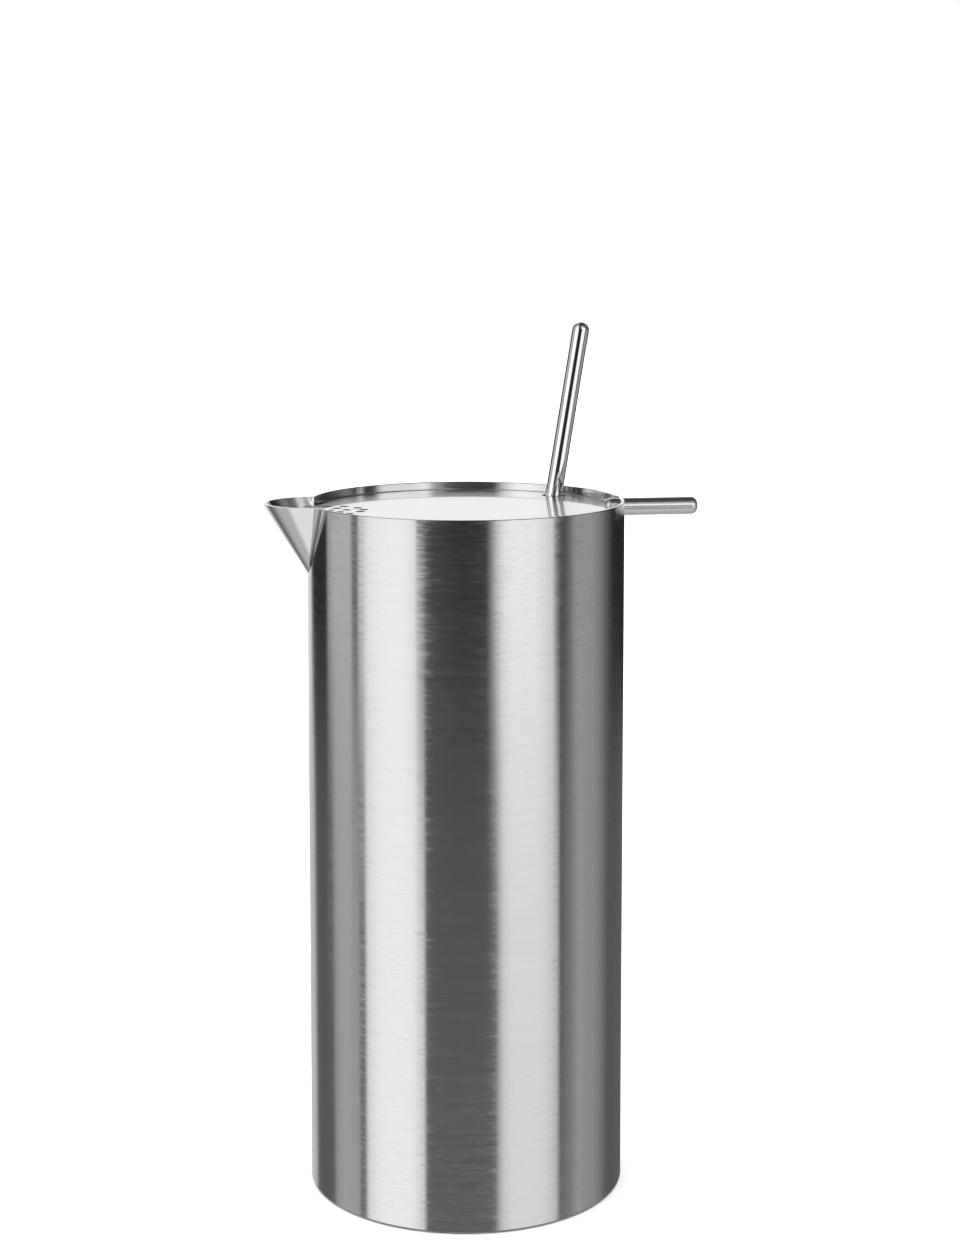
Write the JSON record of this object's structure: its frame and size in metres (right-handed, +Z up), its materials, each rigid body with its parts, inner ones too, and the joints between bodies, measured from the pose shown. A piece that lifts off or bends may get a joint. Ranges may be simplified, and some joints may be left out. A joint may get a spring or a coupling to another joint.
{
  "type": "cocktail pitcher",
  "caption": "Straight steel cocktail pitcher with a conical spout, a sunk strainer lid with a side peg, and a mixing spoon through the lid.",
  "frame": {"origin": "middle of the flat underside of the foot, on the jug's axis", "axes": "+Z up along the jug's axis, -X towards the spout, +X along the peg"},
  "size_m": [0.1247, 0.09, 0.2463],
  "materials": {
    "brushed_steel": "brushed",
    "satin_steel": "satin",
    "polished_steel": "polished"
  },
  "bodies": {
    "jug": {"body_wall": "brushed_steel", "base_pan": "brushed_steel", "spout": "brushed_steel", "spout_seam": "brushed_steel", "seat_ring": "brushed_steel"},
    "lid": {"strainer_lid": "polished_steel", "lid_peg": "satin_steel"},
    "spoon": {"spoon_stem": "polished_steel", "spoon_bowl": "polished_steel"}
  },
  "joints": [
    {"name": "lid_lift", "type": "slide", "parent": "jug", "child": "lid", "axis": [0, 0, 1], "range_m": [0, 0.205]},
    {"name": "spoon_slide", "type": "slide", "parent": "lid", "child": "spoon", "axis": [0.159, 0, 0.9873], "range_m": [0, 0.12]}
  ]
}
